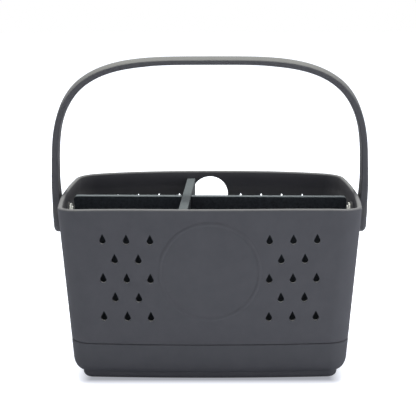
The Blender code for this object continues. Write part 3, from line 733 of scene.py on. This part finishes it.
class CADDY_OT_basket(bpy.types.Operator):
    """Model the tapered, perforated basket"""

    bl_idname = "caddy.add_basket"
    bl_label = "Add Basket"

    def execute(self, context):
        body, holes = context.scene.caddy_body, context.scene.caddy_holes
        handle = context.scene.caddy_handle
        basket = skin("basket_body", self.rings(body))
        inner, outer = WASHER_HIGH.x + body.rest_gap, handle.pad_inner - body.rest_gap
        work_pivots(basket, handle, handle.boss_radius, inner, outer, "UNION")
        self.add_ring(basket, body, holes)
        self.cut_holes(basket, body, holes, context.scene.caddy_dividers.cross_offset)
        inner, outer = handle.pad_inner - 2 * handle.boss_radius, handle.pad_inner + handle.boss_radius
        work_pivots(basket, handle, handle.pin_radius + body.rest_gap, inner, outer)
        soften(basket, holes.hole_edge, HOLE_BEVEL_STEPS)
        finish_piece(basket, "basket", "basket", "basket_plastic")
        return {"FINISHED"}

    def rings(self, body):
        """Outlines from under the floor, up the outside, over the rim and down the inside."""
        floor_top = body.floor_bottom + body.floor_thickness
        shoulder = body.seam_height + body.rest_gap
        tangent = rim_start(body)
        turn, edge, wall = body.basket_turn, body.seam_edge, body.basket_wall
        rings = turn_rings(body, body.floor_bottom, turn, body.lower_inset, turn)
        rings.append(plan_ring(body, shoulder, body.shoulder_inset, 0.0))
        rings += turn_rings(body, shoulder, edge, 0.0, edge, EDGE_STEPS, 0.0)
        for step in range(1, WALL_STEPS):
            rings.append(plan_ring(body, between(shoulder + edge, tangent, step / WALL_STEPS)))
        for step in range(RIM_STEPS + 1):
            angle = math.pi * step / RIM_STEPS
            inset = body.rim_thickness / 2 * (1 - math.cos(angle))
            rings.append(plan_ring(body, tangent + body.rim_thickness / 2 * math.sin(angle), inset, 1.0))
        for step in range(1, TURN_STEPS + 1):
            share = step / TURN_STEPS
            inset = between(body.rim_thickness, wall, eased(share))
            rings.append(plan_ring(body, tangent - body.rim_blend * share, inset))
        top, foot = tangent - body.rim_blend, shoulder + body.shoulder_blend
        for step in range(1, WALL_STEPS + 1):
            rings.append(plan_ring(body, between(top, foot, step / WALL_STEPS), wall))
        for step in range(1, EDGE_STEPS + 1):
            share = step / EDGE_STEPS
            inset = wall + body.shoulder_inset * eased(share)
            rings.append(plan_ring(body, between(foot, shoulder, share), inset))
        rings += reversed(turn_rings(body, floor_top, turn, body.lower_inset + wall, turn))
        return rings

    def add_ring(self, basket, body, holes):
        """A plain raised line with soft sides that follows the front wall."""
        line = primitive(
            bpy.ops.mesh.primitive_torus_add, major_radius=holes.ring_radius,
            minor_radius=holes.ring_width / 2, major_segments=RING_STEPS, minor_segments=RING_SIDES,
            rotation=ALONG["Y"],
        )
        bpy.ops.object.transform_apply()
        for corner in line.data.vertices:
            x, y, z = corner.co
            across = (math.hypot(x, z) - holes.ring_radius) / (holes.ring_width / 2)
            swell = max(1.0 - across ** 2, 0.0)
            inward = holes.ring_root * swell if y > 0 else -holes.ring_relief * swell ** 2
            z += holes.ring_height
            corner.co = (x, front_wall(body, x, z) + holes.ring_sink + inward, z)
        cut(basket, line, "UNION")

    def cut_holes(self, basket, body, holes, cross):
        """Drops in both long walls, drain holes in the floor and the hanging hole."""
        depth = body.rim_half_depth - body.seam_half_depth + body.rim_long_bow + 2 * body.basket_wall
        reach = body.rim_half_depth + body.basket_wall
        for y, extra_columns in ((-reach, ()), (reach - depth, (BACK_EXTRA_COLUMN,))):
            cut(basket, copies(drop_cutter(holes, depth), drop_places(holes, y, extra_columns)))
        pitch = holes.floor_hole_pitch
        columns = [cross - holes.floor_hole_start - pitch * index for index in range(FLOOR_HOLES_LEFT)]
        columns += [cross + holes.floor_hole_start + pitch * index for index in range(FLOOR_HOLES_RIGHT)]
        low = body.floor_bottom - body.floor_thickness
        high = body.floor_bottom + 2 * body.floor_thickness
        hole = rod(holes.floor_hole_radius, (0, 0, low), (0, 0, high), "Z", FLOOR_HOLE_STEPS)
        middle = (low + high) / 2
        places = [Vector((x, row * pitch, middle)) for x in columns for row in FLOOR_HOLE_ROWS]
        cut(basket, copies(hole, places))
        start = (0, body.seam_half_depth - body.rim_long_bow, holes.hang_hole_height)
        end = (0, body.rim_half_depth + body.rim_long_bow, holes.hang_hole_height)
        cut(basket, rod(holes.hang_hole_radius, start, end, "Y", HANG_HOLE_STEPS))


class CADDY_OT_drip_tray(bpy.types.Operator):
    """Model the drip tray with its recessed foot"""

    bl_idname = "caddy.add_drip_tray"
    bl_label = "Add Drip Tray"

    def execute(self, context):
        tray = skin("drip_tray_dish", self.rings(context.scene.caddy_body))
        shade(tray)
        finish_piece(tray, "tray", "drip_tray", "tray_plastic")
        return {"FINISHED"}

    def rings(self, body):
        """Outlines from the hollow underside, round the foot, up the side and down into the dish."""
        foot, wall, edge = body.foot_inset, body.foot_wall, body.foot_edge
        low, turn, seam = body.foot_height, body.turn_height, body.seam_height
        lean, lip = body.tray_lean, body.seam_edge
        rings = [plan_ring(body, low, foot + wall), plan_ring(body, 0.0, foot + edge + wall)]
        rings += turn_rings(body, 0.0, edge, foot, edge)
        rings += turn_rings(body, low, turn - low, lean, foot - lean)
        for share in TRAY_SIDE_SHARES:
            rings.append(plan_ring(body, between(turn, seam - lip, share), lean * (1 - share)))
        for angle in quarter_turn(EDGE_STEPS):
            rings.append(plan_ring(body, seam - lip * (1 - math.sin(angle)), lip * (1 - math.cos(angle))))
        rings.append(plan_ring(body, seam, body.tray_wall))
        floor_top = low + body.tray_floor
        rings += reversed(turn_rings(body, floor_top, turn - floor_top, lean + body.tray_wall, foot - lean))
        return rings


class CADDY_OT_handle(bpy.types.Operator):
    """Model the domed carrying handle with its round pads"""

    bl_idname = "caddy.add_handle"
    bl_label = "Add Handle"

    def execute(self, context):
        handle = context.scene.caddy_handle
        strap = skin("carry_handle", [self.section(handle, *station) for station in self.stations(handle)])
        inner, outer = handle.pad_inner - handle.pad_edge, handle.pad_inner + handle.pin_hole_depth
        work_pivots(strap, handle, handle.pin_radius + handle.press_gap, inner, outer)
        shade(strap)
        finish_piece(strap, "handle", "handle", "handle_plastic")
        return {"FINISHED"}

    def thickness(self, handle, rise):
        """Thickness of the strap: even on the grip, more round the bends, thin on the arms."""
        stops = (
            (0.0, handle.strap_foot),
            (handle.arm_foot_rise, handle.arm_thickness),
            (handle.grip_rise - handle.arm_drop, handle.arm_thickness),
            (handle.grip_rise - handle.bend_drop, handle.bend_thickness),
        )
        for (low, thin), (high, thick) in zip(stops, stops[1:]):
            if rise <= high:
                return between(thin, thick, eased((rise - low) / (high - low)))
        share = 1 - (handle.grip_rise - rise) / handle.bend_drop
        return between(handle.bend_thickness, handle.grip_thickness, share)

    def stations(self, handle):
        """Middle, outward direction and thickness of the strap, from the left pad over to the right.

        Each middle is a distance out along X and a rise above the pivots.
        """
        pad_middle = handle.pad_inner + handle.pad_thickness / 2
        widest = pad_middle + handle.arm_bow
        places = []
        for angle in reversed(quarter_turn(ARCH_STEPS)):
            x = widest * math.cos(angle) ** (2 / handle.arch_power_out)
            share = math.sin(angle) ** (2 / handle.arch_power_up)
            places.append(Vector((x, between(handle.arm_bow_rise, handle.grip_rise, share))))
        for step in range(1, ARM_STEPS + 1):
            share = step / ARM_STEPS
            x = widest - handle.arm_bow * share ** handle.arm_bow_power
            places.append(Vector((x, handle.arm_bow_rise * (1 - share))))
        right = []
        for index, middle in enumerate(places):
            if index == 0:
                outward = Vector((0.0, 1.0))
            else:
                ahead = places[min(index + 1, len(places) - 1)] - places[index - 1]
                outward = Vector((-ahead.y, ahead.x)).normalized()
            share = min(middle.y / handle.flare_rise, 1.0)
            outward = Vector((1.0, 0.0)).lerp(outward, share).normalized()
            right.append((middle, outward, self.thickness(handle, middle.y)))
        for angle in quarter_turn(ARM_STEPS)[1:-1] + [LAST_PAD_ANGLE]:
            middle = Vector((pad_middle, -handle.pad_radius * math.sin(angle)))
            right.append((middle, Vector((1.0, 0.0)), handle.pad_thickness))
        left = [(Vector((-m.x, m.y)), Vector((-o.x, o.y)), t) for m, o, t in reversed(right[1:])]
        return left + right

    def half_width(self, handle, rise):
        """Half the strap's width, with a fillet where an arm meets its round pad."""
        pad = math.sqrt(handle.pad_radius ** 2 - min(abs(rise), handle.pad_radius) ** 2)
        if rise < 0:
            return pad
        strap = handle.width / 2
        overlap = max(handle.flare - abs(pad - strap), 0.0)
        return max(pad, strap) + overlap ** 2 / (4 * handle.flare)

    def fullness(self, handle, rise):
        """How far the inner face swells inwards, from nothing on the flat pads."""
        above_pads = (rise - handle.flare_rise) / (handle.arm_foot_rise - handle.flare_rise)
        near_middle = eased(1 - (handle.grip_rise - rise) / handle.grip_drop)
        return between(handle.arm_fullness * eased(above_pads), handle.grip_fullness, near_middle)

    def rounding(self, radius, inside):
        """How far a rounded edge has dropped at a distance inside the rim."""
        over = min(max(radius - inside, 0.0), radius)
        return radius - math.sqrt(radius ** 2 - over ** 2)

    def outer_face(self, handle, across, half_width, rise, thickness):
        """Distance out of the strap's outer face from its middle, which runs into the flat pad."""
        above_arms = rise - handle.grip_rise + handle.arm_drop
        bent = eased(above_arms / (handle.arm_drop - handle.bend_drop))
        crown = between(handle.arm_crown, handle.grip_crown, bent)
        edge = between(handle.arm_edge, handle.grip_edge, bent)
        strap = thickness / 2 - crown * (across / half_width) ** 2
        strap -= self.rounding(edge, half_width - across)
        if rise > 0:
            inside = half_width - across
        else:
            inside = handle.pad_radius - math.hypot(across, rise)
        pad = handle.pad_thickness / 2 - self.rounding(handle.pad_edge, inside)
        return between(pad, strap, eased(rise / handle.flare_rise))

    def section(self, handle, middle, outward, thickness):
        """One closed outline of the strap, square to its run."""
        rise = middle.y
        half_width = self.half_width(handle, rise)
        half = []
        for angle in quarter_turn(FACE_STEPS):
            across = half_width * math.sin(angle)
            half.append((across, self.outer_face(handle, across, half_width, rise, thickness)))
        run = between(handle.pad_thickness, thickness, eased(rise / handle.flare_rise))
        inner = -run / 2 - self.fullness(handle, rise)
        half += rounded_edge(half_width, inner, min(handle.inner_edge, half_width * MOST_ROUNDING))
        half.append((half_width * INNER_FLAT, inner))
        outline = half + [(-across, out) for across, out in reversed(half[1:])]
        side = Vector((outward.x, 0.0, outward.y))
        centre = Vector((middle.x, 0.0, handle.pivot_height + rise))
        return [centre + Vector((0.0, across, 0.0)) + side * out for across, out in outline]


class CADDY_OT_pivots(bpy.types.Operator):
    """Model the pale pivot pins and their washers"""

    bl_idname = "caddy.add_pivots"
    bl_label = "Add Pivot Pins"

    def execute(self, context):
        handle = context.scene.caddy_handle
        bore = handle.pin_radius + context.scene.caddy_body.rest_gap
        for side, label in ((-1, "left"), (1, "right")):
            pin = turned(label + "_pin", self.pin_profile(handle), side, handle.pivot_height)
            shade(pin)
            finish_piece(pin, "handle", label + "_pivot_pin", "pivot_plastic")
            profile = self.washer_profile(handle, bore)
            washer = turned(label + "_pivot_washer", profile, side, handle.pivot_height, endless=True)
            shade(washer)
            finish_piece(washer, "handle", label + "_washer", "pivot_plastic")
        return {"FINISHED"}

    def pin_profile(self, handle):
        """Shank with an eased end under a flat head with a rounded edge."""
        head, edge = (PIN_HIGH.z - PIN_LOW.z) / 2, handle.washer_edge
        face, seat = PIN_LOW.x, PIN_LOW.x + handle.pin_head_thickness
        profile = [(handle.pin_radius - edge, PIN_HIGH.x), (handle.pin_radius, PIN_HIGH.x - edge)]
        profile += [(handle.pin_radius, seat), (head - edge / 2, seat)]
        profile += rounded_edge(head, face, handle.pin_head_thickness * HEAD_ROUNDING, HEAD_STEPS)
        profile.append((head * HEAD_FLAT, face))
        return profile

    def washer_profile(self, handle, bore):
        """A flat ring whose rim is rounded."""
        radius, edge = (WASHER_HIGH.z - WASHER_LOW.z) / 2, handle.washer_edge
        outer, inner = WASHER_HIGH.x, WASHER_LOW.x
        rim = [*reversed(rounded_edge(radius, outer, -edge)), *rounded_edge(radius, inner, edge)]
        return [(bore, outer), *rim, (bore, inner)]


class CADDY_OT_dividers(bpy.types.Operator):
    """Model the two crossed dividers, half lapped into each other"""

    bl_idname = "caddy.add_dividers"
    bl_label = "Add Dividers"

    def execute(self, context):
        sizes = context.scene.caddy_dividers
        turn = Matrix.Rotation(sizes.turn, 4, "Z")
        aside = Matrix.Translation((sizes.cross_offset, 0, 0))
        across = turn @ aside @ Matrix.Rotation(math.pi / 2, 4, "Z")
        long_halves = (sizes.long_half_top, sizes.long_half_foot)
        cross_halves = (sizes.cross_half_top, sizes.cross_half_foot)
        self.add_divider("long", sizes, long_halves, sizes.cross_offset, True, turn)
        self.add_divider("cross", sizes, cross_halves, 0.0, False, across)
        return {"FINISHED"}

    def add_divider(self, label, sizes, halves, lap_at, lap_from_top, placing):
        """One divider, with its lap cut and its edges rounded, stood where it belongs."""
        blade = self.blade(label + "_blade", sizes, *halves)
        self.hollow(blade, sizes, halves[1], lap_at)
        self.cut_lap(blade, sizes, lap_at, lap_from_top)
        soften(blade, sizes.edge, BEVEL_STEPS)
        blade.data.transform(placing)
        node = label + "_divider"
        finish_piece(blade, node, node, node + "_plastic")

    def blade(self, name, sizes, half_top, half_foot):
        """A box whose foot is narrowed and whose corners are rounded above and bevelled below."""
        height = sizes.top - sizes.low
        middle = sizes.low + height / 2
        blade = primitive(
            bpy.ops.mesh.primitive_cube_add, size=1.0, location=(0, 0, middle),
            scale=(2 * half_top, sizes.thickness, height),
        )
        blade.name = name
        bpy.ops.object.transform_apply()
        bpy.ops.object.mode_set(mode="EDIT")
        shape = bmesh.from_edit_mesh(blade.data)
        for corner in shape.verts:
            if corner.co.z < middle:
                corner.co.x *= half_foot / half_top
        corners = ((True, sizes.corner, BLADE_CORNER_STEPS), (False, sizes.foot_bevel, 1))
        for above, offset, segments in corners:
            bpy.ops.mesh.select_all(action="DESELECT")
            shape = bmesh.from_edit_mesh(blade.data)
            for edge in shape.edges:
                ends = [corner.co for corner in edge.verts]
                crosswise = abs(ends[0].y - ends[1].y) > sizes.thickness / 2
                outermost = all(abs(end.x) > half_foot - sizes.edge for end in ends)
                edge.select_set(crosswise and outermost and (ends[0].z > middle) == above)
            bmesh.update_edit_mesh(blade.data)
            bpy.ops.mesh.bevel(offset=offset, segments=segments, affect="EDGES", clamp_overlap=True)
        bpy.ops.object.mode_set(mode="OBJECT")
        return blade

    def hollow(self, blade, sizes, half_foot, lap_at):
        """Open the blade from below on both sides of the lap."""
        post = sizes.thickness / 2 + sizes.lap_gap + sizes.wall
        end = half_foot - sizes.foot_bevel - sizes.wall
        inside = sizes.thickness - 2 * sizes.wall
        for left, right in ((-end, lap_at - post), (lap_at + post, end)):
            self.cut_box(blade, left, right, inside, sizes.low - sizes.wall, sizes.top - sizes.wall)

    def cut_lap(self, blade, sizes, lap_at, from_top):
        """Cut the half lap, down from the top or up from the foot."""
        half = sizes.thickness / 2 + sizes.lap_gap
        middle = (sizes.low + sizes.top) / 2
        past = sizes.top - sizes.wall
        low, high = (middle, 2 * past) if from_top else (-past, middle)
        self.cut_box(blade, lap_at - half, lap_at + half, 2 * sizes.thickness, low, high)

    def cut_box(self, blade, left, right, depth, low, high):
        box = primitive(
            bpy.ops.mesh.primitive_cube_add, size=1.0, location=((left + right) / 2, 0, (low + high) / 2),
            scale=(right - left, depth, high - low),
        )
        cut(blade, box)


class CADDY_OT_studio(bpy.types.Operator):
    """Set up the pale floor, the soft lights and the camera"""

    bl_idname = "caddy.add_studio"
    bl_label = "Add Studio"

    def execute(self, context):
        studio, body = context.scene.caddy_studio, context.scene.caddy_body
        # The foot's rectangle, from which the floor's painted shadow reaches out
        foot = (
            body.seam_half_length - body.foot_inset - body.corner_radius + body.foot_edge,
            body.seam_half_depth - body.foot_inset,
            0.0,
        )
        self.add_floor(studio, foot)
        self.add_world(context.scene, studio)
        self.add_lights(studio)
        self.add_camera(context.scene, studio)
        context.scene.view_settings.view_transform = "Standard"
        return {"FINISHED"}

    def add_floor(self, studio, foot):
        """A pale floor lifted to white a little way out from the foot, with a lower lift beside it: a
        painted shadow over the real one it keeps.
        """
        floor = primitive(
            bpy.ops.mesh.primitive_plane_add, size=2 * studio.floor_half, location=(0, 0, -FLOOR_DROP),
        )
        floor.name = "studio_floor"
        bpy.ops.object.transform_apply()
        material, tree = new_material("studio_white")
        place = add_node(tree, "TexCoord").outputs["Object"]
        aside = add_sum(tree, "VectorMath", "ABSOLUTE", place)["Vector"]
        beyond = add_sum(tree, "VectorMath", "SUBTRACT", aside, foot)["Vector"]
        outside = add_sum(tree, "VectorMath", "MAXIMUM", beyond, (0.0, 0.0, 0.0))["Vector"]
        away = add_sum(tree, "VectorMath", "LENGTH", outside)["Value"]
        # Less lift beside the foot: a painted contact shadow on top of the real shadow
        white_lift_and_painted_shadow = map_range(tree, away, (0.0, studio.shadow_reach), (studio.lift_near, studio.lift_far))
        set_inputs(tree, tree.nodes["Principled BSDF"], {
            "Base Color": (*[studio.floor_tone * value for value in FLOOR_TINT], 1.0),
            "Roughness": FLOOR_ROUGHNESS,
            "Specular IOR Level": 0.0,
            "Emission Strength": add_sum(tree, "Math", "MULTIPLY", self.seen(tree), white_lift_and_painted_shadow)["Value"],
            "Emission Color": (*LIFT_AND_PAINTED_SHADOW_TINT, 1.0),
        })
        floor.data.materials.append(material)

    def seen(self, tree):
        """1 for what the camera sees, straight on, in a reflection or through glass."""
        rays = add_node(tree, "LightPath").outputs
        level = rays["Is Camera Ray"]
        for name in ("Is Glossy Ray", "Is Transmission Ray"):
            level = add_sum(tree, "Math", "MAXIMUM", level, rays[name])["Value"]
        return level

    def add_world(self, scene, studio):
        """Light from pale walls round about and a dim sky above them, seen as plain white."""
        scene.world = bpy.data.worlds.new("studio_world")
        scene.world.use_nodes = True
        tree = scene.world.node_tree
        tree.nodes.clear()
        toward = add_node(tree, "TexCoord").outputs["Generated"]
        rise = add_node(tree, "SeparateXYZ", {"Vector": toward}).outputs["Z"]
        fade = (studio.horizon_low, studio.horizon_high)
        level = map_range(tree, rise, fade, (studio.horizon, studio.sky))
        soft = add_node(tree, "Background", {"Color": (*COOL_LIGHT, 1.0), "Strength": level}).outputs[0]
        white = add_node(tree, "Background", {"Color": (1.0, 1.0, 1.0, 1.0)}).outputs[0]
        both = add_node(tree, "MixShader", {0: self.seen(tree), 1: soft, 2: white}).outputs["Shader"]
        add_node(tree, "OutputWorld", {"Surface": both})

    def add_lights(self, studio):
        """A softbox overhead, a little behind the caddy, and one low at the right."""
        size = (studio.top_width, studio.top_depth)
        self.softbox("overhead_softbox", studio, studio.top_place, size, studio.top_light, WARM_LIGHT)
        size = (studio.right_width, studio.right_height)
        self.softbox("right_softbox", studio, studio.right_place, size, studio.right_light, COOL_LIGHT)

    def softbox(self, name, studio, place, size, power, tint):
        lamp = bpy.data.lights.new(name, "AREA")
        lamp.shape = "RECTANGLE"
        lamp.size, lamp.size_y = size
        lamp.energy = power
        lamp.color = tint
        holder = bpy.data.objects.new(name, lamp)
        bpy.context.scene.collection.objects.link(holder)
        holder.location = place
        toward = Vector((0.0, 0.0, studio.aim_height)) - Vector(place)
        holder.rotation_euler = toward.to_track_quat("-Z", "Y").to_euler()
        holder.visible_camera = False

    def add_camera(self, scene, studio):
        """The camera, turned by its yaw, pitch and roll."""
        lens = bpy.data.cameras.new("studio_camera")
        lens.lens = studio.focal_length
        lens.sensor_width = SENSOR_WIDTH
        camera = bpy.data.objects.new("studio_camera", lens)
        scene.collection.objects.link(camera)
        yaw = Matrix.Rotation(-studio.camera_yaw, 4, "Z")
        pitch = Matrix.Rotation(math.pi / 2 - studio.camera_pitch, 4, "X")
        roll = Matrix.Rotation(studio.camera_roll, 4, "Z")
        camera.matrix_world = Matrix.Translation(studio.camera_place) @ yaw @ pitch @ roll
        scene.camera = camera


class CADDY_PT_panel(bpy.types.Panel):
    """Every step of the caddy, in order"""

    bl_label = "Bath Caddy"
    bl_idname = "CADDY_PT_panel"
    bl_space_type = "VIEW_3D"
    bl_region_type = "UI"
    bl_category = "Caddy"

    def draw(self, context):
        for operator in OPERATORS:
            self.layout.operator(operator.bl_idname)


GROUPS = {
    "caddy_body": CaddyBodySizes,
    "caddy_holes": CaddyHoleSizes,
    "caddy_handle": CaddyHandleSizes,
    "caddy_dividers": CaddyDividerSizes,
    "caddy_finish": CaddyFinish,
    "caddy_studio": CaddyStudio,
}
OPERATORS = (
    CADDY_OT_basket, CADDY_OT_drip_tray, CADDY_OT_handle, CADDY_OT_pivots, CADDY_OT_dividers,
    CADDY_OT_studio,
)


def register():
    for group in (*GROUPS.values(), *OPERATORS, CADDY_PT_panel):
        bpy.utils.register_class(group)
    for name, group in GROUPS.items():
        setattr(bpy.types.Scene, name, bpy.props.PointerProperty(type=group))


def unregister():
    for name in GROUPS:
        delattr(bpy.types.Scene, name)
    for group in reversed((*GROUPS.values(), *OPERATORS, CADDY_PT_panel)):
        bpy.utils.unregister_class(group)


def main():
    """Model every piece in order."""
    register()
    bpy.ops.caddy.add_basket()
    bpy.ops.caddy.add_drip_tray()
    bpy.ops.caddy.add_handle()
    bpy.ops.caddy.add_pivots()
    bpy.ops.caddy.add_dividers()
    bpy.ops.caddy.add_studio()


if __name__ == "__main__":
    main()
